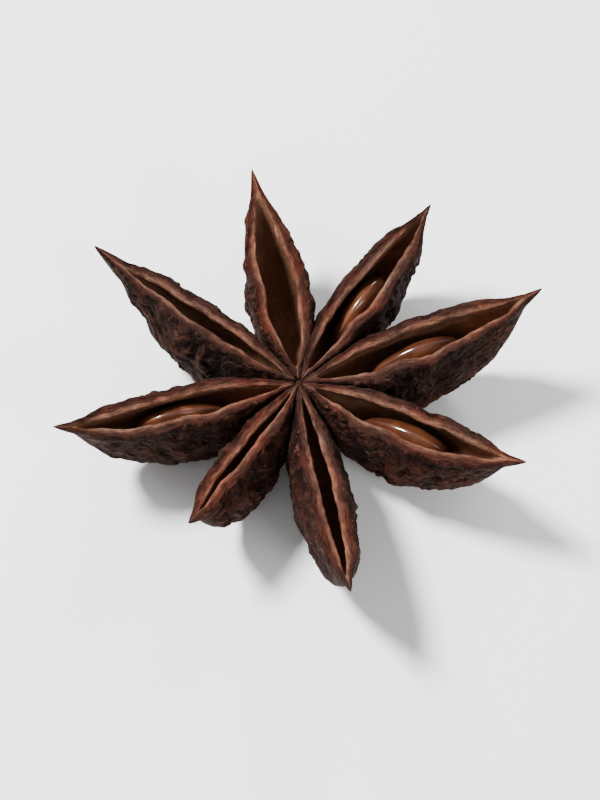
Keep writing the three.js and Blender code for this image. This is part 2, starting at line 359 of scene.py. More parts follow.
# Keep the relief and grain of the carpels, and the grain of a carpel's two lips, unlike
CARPEL_SHIFT = np.array((13.7, 7.1, 3.3))
CARPELS_APART = 20
LIP_SIDES_APART = 30

# Layers of relief: noise cells for each millimetre along a carpel, sideways and up, a shift that keeps
# the layers unlike, and the depth
DENTS = dict(cells=(0.24, 0.36, 0.3), shift=3.9, depth=0.15)
FOLDS = dict(cells=(0.5, 0.7, 0.3), shift=0.0, depth=0.26)
CREASES = dict(cells=(1.0, 1.1, 0.6), shift=31.7, depth=0.27)
CRINKLE = dict(cells=(1.6, 1.8, 1.5), shift=5.1, depth=0.17)
# The share of folds, creases and crinkle that a place has: this on average, and this much more or less
CALM = dict(cells=(0.16, 0.2, 0.2), shift=11.3, mean=0.85, swing=0.6)
# What bends the layers out of line, and how far
WARP = dict(cells=(0.3, 0.4, 0.4), shift=17.3)
FOLDS_BEND = 1.6
CRINKLE_BEND = 0.6
# A crest's height over the middle, and how steeply its sides fall with the noise
CREST_HEIGHT = 0.5
CREST_STEEPNESS = 2.2

# A lip's uneven edge, where it starts and ends along the carpel, and how it differs up and inward
RAGGED_LAYERS = (
    dict(cells=(0.55, 1, 1), shift=0.0, depth=0.11),
    dict(cells=(2.3, 1, 1), shift=4.2, depth=0.05),
)
RAGGED_START = (0.1, 0.25)
RAGGED_END = (0.97, 0.85)
RAGGED_SIDES_APART = 40
RAGGED_UP_SHIFT = 9.9

# The lip's crisp edges and the shallow groove between them: place, width in places, and height
LIP_EDGES = (
    dict(place=LIP_OUTER + 0.25, width=0.25, height=0.08),
    dict(place=LIP_INNER - 0.1, width=0.22, height=0.13),
    dict(place=CREST + 0.15, width=0.45, height=-0.1),
)
LIP_EDGES_GROW = (1.0, 4.0)

# Places between which one kind of surface fades into the next, and how uneven the outside's border is
OUTSIDE_FADE = (LIP_OUTER + 1.0, LIP_OUTER + 0.5)
OUTSIDE_BORDER = dict(cells=(1.3, 0.3, 0.3), shift=0.0, depth=0.5)
INSIDE_FADE = (LIP_INNER + 0.1, LIP_INNER + 0.45)
# Painted shade in the pocket grows between these places
POCKET_SHADE_FADE = (LIP_INNER + 0.3, FLOOR - 1.2)
ROUGH_FADE = (LIP_OUTER + 0.5, LIP_OUTER - 0.4)

# The rim is partly the lip's own paler edge and partly painted highlight
# The pale rim at the lip's inner edge: its place and width, how uneven its line is, and its strength
RIM_PLACE = LIP_INNER - 0.08
RIM_WIDTH = 0.3
RIM_BORDER = dict(cells=(2.1, 0.3, 0.3), shift=0.0, depth=0.12)
RIM_STRENGTH = dict(cells=(0.5, 0.5, 0.5), shift=0.0, mean=0.75, swing=0.5)

# The share of the relief that lips and pocket take, and what is left of it near the star's middle
RELIEF_ON_LIP = 0.16
RELIEF_INSIDE = 0.07
RELIEF_AT_CENTRE = 0.25
RELIEF_GROWS = (0.6, 4.0)
# Flanks that are fused to their neighbours have none: places round the widest one, and how far out
FUSED_PLACES = 2.2
FUSED_FADE = (7.0, 4.5)
# Half widths between which relief and lip edges grow, so that a thin beak keeps its shape
THICK_ENOUGH = (0.3, 1.5)


def layer_noise(points, layer, offset):
    return noise_at(points, layer["cells"], offset + layer["shift"])


def uneven(points, layer, offset):
    """A layer's mean, more or less by its swing."""
    return layer["mean"] + layer["swing"] * layer_noise(points, layer, offset)


def ridges(points, layer, offset):
    """Sharp crests between rounded hollows, from about -0.6 to 0.5."""
    return CREST_HEIGHT - CREST_STEEPNESS * np.abs(layer_noise(points, layer, offset))


def husk_relief(points, offset):
    """Wrinkles of the dried outside at points (along, sideways, height), out of the surface."""
    warp = [noise_at(points, WARP["cells"], offset + k * WARP["shift"]) for k in range(3)]
    warp = np.stack(warp, axis=-1)
    bent = points + FOLDS_BEND * warp
    dents = DENTS["depth"] * layer_noise(bent, DENTS, offset)
    folds = FOLDS["depth"] * ridges(bent, FOLDS, offset)
    creases = CREASES["depth"] * ridges(bent, CREASES, offset)
    crinkle = CRINKLE["depth"] * -ridges(points + CRINKLE_BEND * warp, CRINKLE, offset)
    relief = dents + uneven(points, CALM, offset) * (folds + creases + crinkle)
    return RELIEF_LIMIT * np.tanh(relief / RELIEF_LIMIT)


def grid_normals(grid):
    """Unit normals of a (stations, ring, 3) grid that closes round its ring."""
    along = np.gradient(grid, axis=0)
    around = np.roll(grid, -1, axis=1) - np.roll(grid, 1, axis=1)
    normal = np.cross(around, along)
    return normal / np.maximum(np.linalg.norm(normal, axis=-1, keepdims=True), TINY_AREA)


# --- meshes ---


def mesh_object(name, vertices, faces):
    mesh = bpy.data.meshes.new(name)
    mesh.from_pydata([tuple(v) for v in vertices], [], faces)
    mesh.update()
    piece = bpy.data.objects.new(name, mesh)
    bpy.context.scene.collection.objects.link(piece)
    return piece


def closed_faces(stations, ring):
    """Triangles of a tube whose two ends close on poles: vertex 0 and the last one."""
    here = np.arange(ring)
    beside = (here + 1) % ring
    faces = [np.stack([0 * here, 1 + beside, 1 + here], axis=1)]
    for i in range(stations - 1):
        row, following = 1 + i * ring, 1 + (i + 1) * ring
        faces.append(np.stack([row + here, row + beside, following + beside], axis=1))
        faces.append(np.stack([row + here, following + beside, following + here], axis=1))
    last_row, pole = 1 + (stations - 1) * ring, 1 + stations * ring
    faces.append(np.stack([last_row + here, last_row + beside, pole + 0 * here], axis=1))
    return np.concatenate(faces).tolist()


def bump_at(place, width, places):
    """1 at a place round the section, and nothing beyond its width."""
    return np.exp(-(((places - place) / width) ** 2))


def lip_profile(places):
    """The height of the lip's crisp edges, and of the groove between them."""
    return sum(edge["height"] * bump_at(edge["place"], edge["width"], places) for edge in LIP_EDGES)


def ragged_line(line, offset):
    """The uneven edge of a lip, with waves of about 2 mm and chips of about half a millimetre."""
    return sum(layer["depth"] * layer_noise(line, layer, offset) for layer in RAGGED_LAYERS)


def carpel_grid(carpel, offset):
    """A carpel's surface as (along, sideways, height) points, with its stations and ring places."""
    rows = np.arange(1, STATIONS) / STATIONS
    s = mix(rows, np.sin(0.5 * math.pi * rows), TIP_CROWDING)
    steps = [k + np.arange(count) / count for k, count in enumerate(STEPS_FROM_PLACE)]
    places = np.concatenate(steps + [[FLOOR]])
    out = mix(INNER_RADIUS, carpel["length"], s)
    free = smooth_step(*RAGGED_START, s) * smooth_step(*RAGGED_END, s)
    sides = []
    for side in (1, -1):
        line = np.stack([out, 0 * out + RAGGED_SIDES_APART * side, 0 * out], axis=-1)
        ragged_in = free * ragged_line(line, offset)
        ragged_up = free * ragged_line(line, offset + RAGGED_UP_SHIFT)
        half = through_controls(section_controls(carpel, s, side, ragged_in, ragged_up), places)
        sides.append(half * np.array([side, 1]))
    section = np.concatenate([sides[0], sides[1][:, -2:0:-1]], axis=1)
    ring_places = np.concatenate([places, places[-2:0:-1]])
    along = np.broadcast_to(out[:, None, None], section.shape[:2] + (1,))
    return np.concatenate([along, section], axis=2), s, ring_places


def inward_distances(grid, ring_places):
    """Distance round the section from the nearer lip's inner edge, inward on either side."""
    steps = np.linalg.norm(np.diff(grid, axis=1), axis=-1)
    around = np.concatenate([np.zeros((len(grid), 1)), np.cumsum(steps, axis=1)], axis=1)
    first_edge, second_edge = np.flatnonzero(np.isclose(ring_places, LIP_INNER))
    from_first = around - around[:, [first_edge]]
    from_second = around[:, [second_edge]] - around + LIP_SIDES_APART
    on_first_side = np.arange(len(ring_places)) <= np.argmax(ring_places)
    return np.where(on_first_side, from_first, from_second)


def surface_shares(grid, ring_places, offset):
    """Each point's shares of lip, pale rim, inside and painted shade low in the pocket, with uneven
    borders.
    """
    border = OUTSIDE_BORDER["depth"] * layer_noise(grid, OUTSIDE_BORDER, offset)
    outside = smooth_step(*OUTSIDE_FADE, ring_places[None, :] + border)
    inside = smooth_step(*INSIDE_FADE, ring_places)[None, :] + 0 * outside
    # Painted shade: a share that grows towards the pocket's floor
    pocket_shade = smooth_step(*POCKET_SHADE_FADE, ring_places)[None, :] + 0 * outside
    lip = (1 - outside) * (1 - inside)
    # The pale rim: the lip's own paler edge with painted highlight along it
    rim_line = ring_places[None, :] + RIM_BORDER["depth"] * layer_noise(grid, RIM_BORDER, offset)
    rim = bump_at(RIM_PLACE, RIM_WIDTH, rim_line) * uneven(grid, RIM_STRENGTH, offset)
    return lip, rim, inside, pocket_shade


def relief_share(grid, ring_places, inside):
    """How much of the relief each point takes: all of it on free flanks, little on lips and inside."""
    out = grid[:, :1, 0]
    rough = smooth_step(*ROUGH_FADE, ring_places)[None, :]
    grown_together = bump_at(WIDEST, FUSED_PLACES, ring_places)[None, :] * smooth_step(*FUSED_FADE, out)
    share = rough + RELIEF_ON_LIP * (1 - rough) * (1 - inside) + RELIEF_INSIDE * inside
    share = share * mix(RELIEF_AT_CENTRE, 1, smooth_step(*RELIEF_GROWS, out))
    return share * (1 - grown_together)


def carpel_piece(carpel, index):
    """One carpel as a closed mesh, with one row of MARKS for each vertex."""
    offset = CARPEL_SHIFT * index
    grid, s, ring_places = carpel_grid(carpel, offset)
    lip, rim, inside, pocket_shade = surface_shares(grid, ring_places, offset)
    relief = husk_relief(grid, offset)
    edges = lip_profile(ring_places)[None, :] * smooth_step(*LIP_EDGES_GROW, grid[:, :1, 0])
    thick = smooth_step(*THICK_ENOUGH, half_width_at(carpel, s))[:, None]
    raised = (relief * relief_share(grid, ring_places, inside) + edges) * thick
    grid = grid + grid_normals(grid) * raised[..., None]

    body = place_on_star(carpel, s[:, None], grid[..., 1], grid[..., 2])
    ends = [
        place_on_star(carpel, end, 0.0, split_height(carpel, end) - 0.5 * depth_at(carpel, end))
        for end in (np.float64(0.0), np.float64(1.0))
    ]
    vertices = np.concatenate([ends[0][None], body.reshape(-1, 3), ends[1][None]]) * MM
    tone = CARPEL_TONES[index] + 0 * lip
    along = grid[..., 0] + CARPELS_APART * index
    inward = inward_distances(grid, ring_places)
    marks = np.stack([lip, rim, inside, pocket_shade, relief / RELIEF_SPAN, tone, along, inward], axis=-1)
    marks = marks.reshape(-1, len(MARKS))
    marks = np.concatenate([marks[:1], marks, marks[-1:]])
    return mesh_object(f"carpel_{index}", vertices, closed_faces(*grid.shape[:2])), marks


def lathe_grid(profile, sides, relief):
    """A closed round body from (radius, height) points between two poles, roughened by relief."""
    angles = np.arange(sides) / sides * 2 * math.pi
    radius = np.array([r for r, _ in profile[1:-1]])[:, None]
    height = np.array([z for _, z in profile[1:-1]])[:, None]
    grid = np.stack([radius * np.cos(angles), radius * np.sin(angles), height + 0 * angles], axis=-1)
    outward = np.stack([np.cos(angles), np.sin(angles), 0 * angles], axis=-1)[None]
    grid = grid + outward * relief(grid)[..., None]
    ends = [(0, 0, profile[0][1]), (0, 0, profile[-1][1])]
    return np.concatenate([[ends[0]], grid.reshape(-1, 3), [ends[1]]])


# The column that joins the carpels, with the stalk's stub under it. Its point gives radii and heights
# from the column's top; the stub's hollow end gives shares of its radius and heights from its end
COLUMN_RADIUS = 1.7
COLUMN_SINK = 0.15
COLUMN_SIDES = 48
COLUMN_WIDENS_OVER = 0.8
COLUMN_POINT = ((COLUMN_RADIUS, -1.5), (1.0, -0.7), (0.55, -0.25), (0.3, -0.06), (0, 0))
STUB_RADIUS = 0.95
STUB_END = 1.1
STUB_HOLLOW = ((0, 0.25), (0.35, 0.2), (0.75, 0.12))
STUB_ROWS = 8

# Flutes down the column, which end under its point; the stub's torn end; and the point's lip colour
FLUTES = dict(cells=(2.2, 2.2, 0.4), offset=(3, 8, 1), depth=0.16, fade=(-1.0, -2.5))
TORN_END = dict(cells=(1.6, 1.6, 1.6), offset=(5, 2, 9), depth=0.3, reach=0.6)
POINT_FADE = (-1.2, -0.3)


def column_piece():
    """The column that joins the carpels, with the ragged stub of the stalk under it."""
    top = CENTRE_TOP - COLUMN_SINK
    profile = [(share * STUB_RADIUS, STUB_END + up) for share, up in STUB_HOLLOW]
    profile += [(STUB_RADIUS, z) for z in np.linspace(STUB_END, CENTRE_BOTTOM, STUB_ROWS)]
    for t in (0.5, 1.0):
        profile.append((mix(STUB_RADIUS, COLUMN_RADIUS, t), CENTRE_BOTTOM + COLUMN_WIDENS_OVER * t))
    profile += [(radius, top + up) for radius, up in COLUMN_POINT]

    def flutes(grid):
        start, end = FLUTES["fade"]
        depth = FLUTES["depth"] * noise_at(grid, FLUTES["cells"], FLUTES["offset"])
        return depth * smooth_step(top + start, top + end, grid[..., 2])

    points = lathe_grid(profile, COLUMN_SIDES, flutes)
    torn = TORN_END["depth"] * noise_at(points, TORN_END["cells"], TORN_END["offset"])
    points[:, 2] += torn * smooth_step(STUB_END + TORN_END["reach"], STUB_END, points[:, 2])
    vertices = (points + np.array([STAR_X, STAR_Y, 0])) * MM
    start, end = POINT_FADE
    marks = np.zeros((len(vertices), len(MARKS)))
    marks[:, MARKS.index("lip")] = smooth_step(top + start, top + end, points[:, 2])
    marks[:, MARKS.index("tone")] = COLUMN_TONE
    return mesh_object("column", vertices, closed_faces(len(profile) - 2, COLUMN_SIDES)), marks


def face_outward(piece):
    """Turns a closed mesh's faces outward, if its volume comes out negative."""
    mesh = piece.data
    mesh.calc_loop_triangles()
    corners = np.array([v.co for v in mesh.vertices])
    a, b, c = corners[np.array([tri.vertices for tri in mesh.loop_triangles])].transpose(1, 0, 2)
    if np.einsum("ij,ij->i", a, np.cross(b, c)).sum() < 0:
        mesh.flip_normals()


def fused(pieces, name):
    """One solid from closed pieces, by a Boolean union."""
    base, others = pieces[0], pieces[1:]
    group = bpy.data.collections.new("joined")
    bpy.context.scene.collection.children.link(group)
    for other in others:
        group.objects.link(other)
    union = base.modifiers.new("union", "BOOLEAN")
    union.operation = "UNION"
    union.operand_type = "COLLECTION"
    union.collection = group
    union.solver = "MANIFOLD"
    depsgraph = bpy.context.evaluated_depsgraph_get()
    mesh = bpy.data.meshes.new_from_object(base.evaluated_get(depsgraph))
    mesh.name = name
    for piece in pieces:
        bpy.data.objects.remove(piece, do_unlink=True)
    bpy.data.collections.remove(group)
    joined = bpy.data.objects.new(name, mesh)
    bpy.context.scene.collection.objects.link(joined)
    return joined


def add_marks(piece, sources, marks):
    """Gives each vertex of piece the marks of the source point nearest to it, as named attributes."""
    tree = KDTree(len(sources))
    for i, point in enumerate(sources):
        tree.insert(point, i)
    tree.balance()
    nearest = np.array([tree.find(v.co)[1] for v in piece.data.vertices])
    for k, name in enumerate(MARKS):
        attribute = piece.data.attributes.new(name, "FLOAT", "POINT")
        attribute.data.foreach_set("value", marks[nearest, k].astype(np.float32))


def husk_piece():
    """Column and carpels as one solid with its marks, cut flat where it rests on the floor."""
    parts = [column_piece()] + [carpel_piece(carpel, i) for i, carpel in enumerate(CARPELS)]
    for piece, _ in parts:
        face_outward(piece)
    sources = np.concatenate([[tuple(v.co) for v in piece.data.vertices] for piece, _ in parts])
    marks = np.concatenate([m for _, m in parts])
    joined = fused([piece for piece, _ in parts], "husk_dried")
    add_marks(joined, sources, marks)
    for vertex in joined.data.vertices:
        vertex.co.z = max(vertex.co.z, 0.0)
    joined.data.shade_smooth()
    return joined


# A seed, its pitch in degrees
SEED_AT = 0.485
SEED_LENGTH_SHARE = 0.4
SEED_THICKNESS_SHARE = 0.49
SEED_HEIGHT = 4.6
SEED_REST = 2.7
SEED_PITCH = 9
SEED_NARROWING = 0.12
SEED_ROWS = 44
SEED_SIDES = 40

# A seed's finer form, in shares of its length, thickness and height: the ridge round its edge, its
# uneven bulges, and the scar at its inner end, which sinks in
SEED_RIDGE_WIDTH = 0.035
SEED_RIDGE_HEIGHT = 0.018
SEED_BULGE_CELLS = (3.5, 3.5, 3.5)
SEED_BULGE_SHIFT = np.array((4.4, 1.2, 8.0))
SEED_BULGE = 0.02
SCAR_FADE = (0.13, 0.07)
SCAR_NARROWING = 0.8
SCAR_HEIGHT = 0.06
SCAR_END = -0.3
SCAR_DEPTH = 0.03


def seed_form(index):
    """An egg one unit long, thick and tall, with its finer form, and each point's share of the scar."""
    polar = np.arange(1, SEED_ROWS) / SEED_ROWS * math.pi
    turn = np.arange(SEED_SIDES) / SEED_SIDES * 2 * math.pi
    along = -0.5 * np.cos(polar)[:, None] + 0 * turn
    thick = 0.5 * np.sin(polar)[:, None] * np.cos(turn)
    tall = 0.5 * np.sin(polar)[:, None] * np.sin(turn)
    shell = np.stack([along, thick, tall], axis=-1).reshape(-1, 3)
    points = np.concatenate([[[-0.5, 0, 0]], shell, [[0.5, 0, 0]]])

    ridge = np.exp(-((points[:, 1] / SEED_RIDGE_WIDTH) ** 2)) * SEED_RIDGE_HEIGHT
    in_plane = points[:, [0, 2]]
    outward = in_plane / np.maximum(np.linalg.norm(in_plane, axis=1, keepdims=True), TINY)
    points[:, [0, 2]] += outward * ridge[:, None]

    bulges = noise_at(points, SEED_BULGE_CELLS, SEED_BULGE_SHIFT * (index, 1, 1))
    points *= 1 + SEED_BULGE * bulges[:, None]
    from_scar = np.hypot(points[:, 1] * SCAR_NARROWING, points[:, 2] - SCAR_HEIGHT)
    scar = smooth_step(*SCAR_FADE, from_scar) * (points[:, 0] < SCAR_END)
    points[:, 0] += SCAR_DEPTH * scar
    return points, scar


def seed_piece(carpel, index):
    """A flattened egg that lies pitched in its carpel's pocket."""
    points, scar = seed_form(index)
    girth = 1 + 2 * SEED_NARROWING * points[:, 0]
    forward = SEED_LENGTH_SHARE * carpel["length"] * points[:, 0]
    above = SEED_HEIGHT * girth * points[:, 2]
    sideways = SEED_THICKNESS_SHARE * carpel["width"] * girth * points[:, 1]

    pitch = math.radians(SEED_PITCH)
    at = np.float64(SEED_AT)
    middle = split_height(carpel, at) - depth_at(carpel, at) + SEED_REST + 0.5 * SEED_HEIGHT
    out = forward * math.cos(pitch) - above * math.sin(pitch)
    height = middle + forward * math.sin(pitch) + above * math.cos(pitch)
    s = SEED_AT + out / (carpel["length"] - INNER_RADIUS)
    vertices = place_on_star(carpel, s, sideways, height) * MM

    seed = mesh_object(f"seed_glossy_{index}", vertices, closed_faces(SEED_ROWS - 1, SEED_SIDES))
    face_outward(seed)
    attribute = seed.data.attributes.new("scar", "FLOAT", "POINT")
    attribute.data.foreach_set("value", scar.astype(np.float32))
    seed.data.shade_smooth()
    return seed


# --- materials ---

# Numbers of the mix node's sockets when it mixes colours
MIX_SHARE, MIX_A, MIX_B = 0, 6, 7
MIX_RESULT = 2

# How much coarser than a net the noise that bends it is
NET_WOBBLE_SCALE = 0.6


class Nodes:
    """Short ways to build a material's node tree."""

    def __init__(self, name):
        self.material = bpy.data.materials.new(name)
        self.material.use_nodes = True
        self.tree = self.material.node_tree
        self.shader = self.tree.nodes["Principled BSDF"]

    def link(self, value, socket):
        """Feeds a socket with another node's output or a fixed value."""
        if hasattr(value, "is_output"):
            self.tree.links.new(value, socket)
        else:
            socket.default_value = value

    def feed(self, name, value):
        """Feeds one of the shader's own sockets."""
        self.link(value, self.shader.inputs[name])

    def coordinates(self):
        return self.tree.nodes.new("ShaderNodeTexCoord").outputs["Object"]

    def noise(self, scale, detail=4.0, roughness=0.6, distortion=0.0, at=None, kind="FBM"):
        node = self.tree.nodes.new("ShaderNodeTexNoise")
        node.noise_type = kind
        self.link(at or self.coordinates(), node.inputs["Vector"])
        settings = {"Scale": scale, "Detail": detail, "Roughness": roughness, "Distortion": distortion}
        for name, value in settings.items():
            node.inputs[name].default_value = value
        return node.outputs["Fac"]

    def grain(self, along, inward, detail, roughness):
        """Noise with cells along a carpel's lips and inward from them, in cells for each millimetre."""
        node = self.tree.nodes.new("ShaderNodeCombineXYZ")
        self.link(self.times(self.mark("along"), along), node.inputs[0])
        self.link(self.times(self.mark("inward"), inward), node.inputs[1])
        return self.noise(1.0, detail, roughness, at=node.outputs[0])

    def net(self, scale, bend):
        """Distance from the lines of a bent net, in shares of a cell: 0 on the lines."""
        wobble = self.tree.nodes.new("ShaderNodeTexNoise")
        self.link(self.coordinates(), wobble.inputs["Vector"])
        wobble.inputs["Scale"].default_value = NET_WOBBLE_SCALE * scale
        bent = self.tree.nodes.new("ShaderNodeVectorMath")
        bent.operation = "MULTIPLY_ADD"
        self.link(wobble.outputs["Color"], bent.inputs[0])
        bent.inputs[1].default_value = (bend, bend, bend)
        self.link(self.coordinates(), bent.inputs[2])
        cells = self.tree.nodes.new("ShaderNodeTexVoronoi")
        cells.feature = "DISTANCE_TO_EDGE"
        self.link(bent.outputs[0], cells.inputs["Vector"])
        cells.inputs["Scale"].default_value = scale
        return cells.outputs["Distance"]

    def mark(self, name):
        """One of the mesh's named attributes."""
        node = self.tree.nodes.new("ShaderNodeAttribute")
        node.attribute_type = "GEOMETRY"
        node.attribute_name = name
        return node.outputs["Fac"]

    def ramp(self, value, stops):
        """A colour from stops of (position, colour)."""
        node = self.tree.nodes.new("ShaderNodeValToRGB")
        while len(node.color_ramp.elements) < len(stops):
            node.color_ramp.elements.new(0.5)
        for element, (position, colour) in zip(node.color_ramp.elements, stops):
            element.position = position
            element.color = (*colour, 1)
        self.link(value, node.inputs["Fac"])
        return node.outputs["Color"]

    def range(self, value, low, high, to_low=0.0, to_high=1.0):
        """A value carried from low and high to to_low and to_high, and held within them."""
        node = self.tree.nodes.new("ShaderNodeMapRange")
        settings = {"From Min": low, "From Max": high, "To Min": to_low, "To Max": to_high}
        for name, number in settings.items():
            node.inputs[name].default_value = number
        self.link(value, node.inputs["Value"])
        return node.outputs["Result"]

    def math(self, operation, a, b):
        node = self.tree.nodes.new("ShaderNodeMath")
        node.operation = operation
        self.link(a, node.inputs[0])
        self.link(b, node.inputs[1])
        return node.outputs[0]

    def plus(self, a, b):
        return self.math("ADD", a, b)

    def minus(self, a, b):
        return self.math("SUBTRACT", a, b)

    def times(self, a, b):
        return self.math("MULTIPLY", a, b)

    def mix(self, share, a, b):
        """Colour a with a share of colour b over it."""
        node = self.tree.nodes.new("ShaderNodeMix")
        node.data_type = "RGBA"
        self.link(share, node.inputs[MIX_SHARE])
        for colour, socket in ((a, MIX_A), (b, MIX_B)):
            self.link(colour if hasattr(colour, "is_output") else (*colour, 1), node.inputs[socket])
        return node.outputs[MIX_RESULT]

    def bump(self, height, distance, strength=1.0):
        node = self.tree.nodes.new("ShaderNodeBump")
        node.inputs["Distance"].default_value = distance
        node.inputs["Strength"].default_value = strength
        self.link(height, node.inputs["Height"])
        return node.outputs["Normal"]


def srgb(*values):
    """A colour given as 0 to 255 sRGB, in the linear values that nodes take."""
    return tuple(((c / 255 + 0.055) / 1.055) ** 2.4 if c > 10 else c / 255 / 12.92 for c in values)


def shades(positions, *colours):
    """A ramp's stops: a position and its colour."""
    return list(zip(positions, colours))


# The skin's colours by its tone, and those that lie over it: a painted highlight on raised ridges,
# painted shade in valleys and creases, and pale flecks
SKIN_TONES = (0.4, 0.48, 0.55, 0.64)
DULL_SKIN = shades(SKIN_TONES, srgb(24, 15, 14), srgb(43, 27, 24), srgb(64, 41, 35), srgb(92, 59, 50))
RUSTY_SKIN = shades(SKIN_TONES, srgb(31, 12, 10), srgb(58, 26, 19), srgb(88, 42, 30), srgb(120, 65, 46))
# Painted highlight colours for raised ridges, dull and rusty
DULL_RIDGE_HIGHLIGHT = srgb(108, 73, 61)
RUSTY_RIDGE_HIGHLIGHT = srgb(128, 74, 53)
# Painted shade for the relief's valleys
PAINTED_VALLEY_SHADE = srgb(11, 6, 6)
# Painted shade for creases
PAINTED_CREASE_SHADE = srgb(9, 5, 5)
FLECK = srgb(132, 94, 74)

# The lips' and pockets' colours by their streaks, and those that lie over them
LIP_STREAK_TONES = (0.38, 0.62)
DULL_FACE = shades(LIP_STREAK_TONES, srgb(20, 11, 10), srgb(52, 30, 25))
RUSTY_FACE = shades(LIP_STREAK_TONES, srgb(27, 10, 8), srgb(70, 31, 22))
# Rim colours: the lip's own paler edge with painted highlight
DULL_RIM = shades(LIP_STREAK_TONES, srgb(72, 47, 39), srgb(132, 98, 81))
RUSTY_RIM = shades(LIP_STREAK_TONES, srgb(88, 48, 36), srgb(148, 98, 75))
STAIN = srgb(30, 15, 11)
PALE_WALL = shades((0.35, 0.65), srgb(104, 71, 54), srgb(142, 103, 79))
# Painted shade colour for the pocket's lower wall
SHADED_WALL = srgb(78, 51, 39)

# Noise over the husk, in cells for each metre
RUST_PATCHES = dict(scale=230, detail=4, roughness=0.65, distortion=0.4)
SKIN_PATCHES = dict(scale=150, detail=3, roughness=0.55)
SKIN_MOTTLE = dict(scale=1500, detail=6, roughness=0.75, distortion=0.5)
SKIN_FLECKS = dict(scale=2300, detail=2, roughness=0.6)
LIP_STAINS = dict(scale=620, detail=4, roughness=0.65)
SHINE_PATCHES = dict(scale=900, detail=3)
FINE_GRAIN = dict(scale=3600, detail=4, roughness=0.7)
WRINKLES = dict(scale=1300, detail=4, roughness=0.5, distortion=0.4, kind="RIDGED_MULTIFRACTAL")
WRINKLE_NET = dict(scale=1050, bend=0.0022)

# Noise along the lips and inward from them, in cells for each millimetre
LIP_STREAKS = dict(along=1.1, inward=5.0, detail=5, roughness=0.75)
WALL_STREAKS = dict(along=1.0, inward=0.7, detail=4, roughness=0.6)
LIP_FIBRES = dict(along=1.0, inward=4.5, detail=4, roughness=0.65)

# What the skin's tone and rust are made up of
PATCHES_IN_TONE = 0.3
MOTTLE_IN_TONE = 0.6
CARPEL_IN_TONE = 0.12
CARPEL_IN_RUST = 0.14

# Between which values of its noise, relief or net each look grows, and its share where it is full
RUST_GROWS = (0.48, 0.7)
# Painted highlight: the skin paler where the relief stands out
RIDGE_HIGHLIGHT_GROWS, RIDGE_HIGHLIGHT_SHARE = (0.1, 1.1), 0.7
# Painted shade: darker where the relief sinks
VALLEY_SHADE_GROWS, VALLEY_SHADE_SHARE = (0.0, -1.0), 0.9
# Painted shade in the wrinkles' creases and along the net's lines
CREASE_SHADE_GROWS, CREASE_SHADE_SHARE = (0.55, 0.15), 0.7
NET_LINE_SHADE_GROWS, NET_LINE_SHADE_SHARE = (0.14, 0.02), 0.65
FLECKS_GROW, FLECK_SHARE = (0.66, 0.76), 0.4
STAINS_GROW, STAIN_SHARE = (0.5, 0.7), 0.7
# Painted shade's share at the pocket's floor
POCKET_SHADE_SHARE = 0.5

# What the finest relief is made up of, and how much of it lips and pockets lose; its height in metres
GRAIN_IN_RELIEF = 0.5
WRINKLES_IN_RELIEF = 0.7
PUCKERS_GROW, PUCKERS_IN_RELIEF = (0.0, 0.22), 0.45
FIBRES_IN_RELIEF = 0.5
SMOOTHING = 0.8
HUSK_BUMP = 0.00035

# The shine, which runs between two values with the noise
SHINE_GROWS = (0.3, 0.7)
HUSK_ROUGHNESS = (0.7, 0.92)
SMOOTHER_INSIDE = 0.4
HUSK_SPECULAR = 0.12
HUSK_SPECULAR_TINT = (*srgb(236, 194, 172), 1)

# The seeds, their bump's distance in metres, and the floor
SEED_MOTTLE = dict(scale=420, detail=3, roughness=0.5)
SEED_SKIN = shades((0.3, 0.5, 0.72), srgb(44, 22, 13), srgb(70, 37, 22), srgb(102, 60, 36))
SEED_SCAR = srgb(128, 92, 62)
SEED_SHINE_PATCHES = dict(scale=900)
SEED_ROUGHNESS = (0.12, 0.24)
SEED_COAT = 0.4
SEED_COAT_ROUGHNESS = 0.08
SEED_DIMPLES = dict(scale=1300, detail=2)
SEED_BUMP = dict(distance=0.00002, strength=0.5)
FLOOR_COLOUR = (0.92, 0.92, 0.915, 1)
FLOOR_ROUGHNESS = 0.8


def rust_share(n):
    """Where the dried skin is rusty instead of dull brown, more so on some carpels."""
    patches = n.plus(n.noise(**RUST_PATCHES), n.times(n.mark("tone"), CARPEL_IN_RUST))
    return n.range(patches, *RUST_GROWS)


def outside_colour(n, creases, rust):
    """Mottled skin, pale flecks, painted highlight on ridges and painted shade in valleys and creases.
    """
    patches = n.times(n.noise(**SKIN_PATCHES), PATCHES_IN_TONE)
    mottle = n.times(n.noise(**SKIN_MOTTLE), MOTTLE_IN_TONE)
    tone = n.plus(n.plus(patches, mottle), n.times(n.mark("tone"), CARPEL_IN_TONE))
    skin = n.mix(rust, n.ramp(tone, DULL_SKIN), n.ramp(tone, RUSTY_SKIN))
    # Painted highlight: raised relief turns paler
    ridge_highlight = n.times(n.range(n.mark("relief"), *RIDGE_HIGHLIGHT_GROWS), RIDGE_HIGHLIGHT_SHARE)
    skin = n.mix(ridge_highlight, skin, n.mix(rust, DULL_RIDGE_HIGHLIGHT, RUSTY_RIDGE_HIGHLIGHT))
    # Painted shade in the relief's valleys
    valleys = n.times(n.range(n.mark("relief"), *VALLEY_SHADE_GROWS), VALLEY_SHADE_SHARE)
    skin = n.mix(valleys, skin, PAINTED_VALLEY_SHADE)
    # Painted shade in the wrinkles' creases and the net's lines
    skin = n.mix(n.times(creases, CREASE_SHADE_SHARE), skin, PAINTED_CREASE_SHADE)
    flecks = n.times(n.range(n.noise(**SKIN_FLECKS), *FLECKS_GROW), FLECK_SHARE)
    return n.mix(flecks, skin, FLECK)


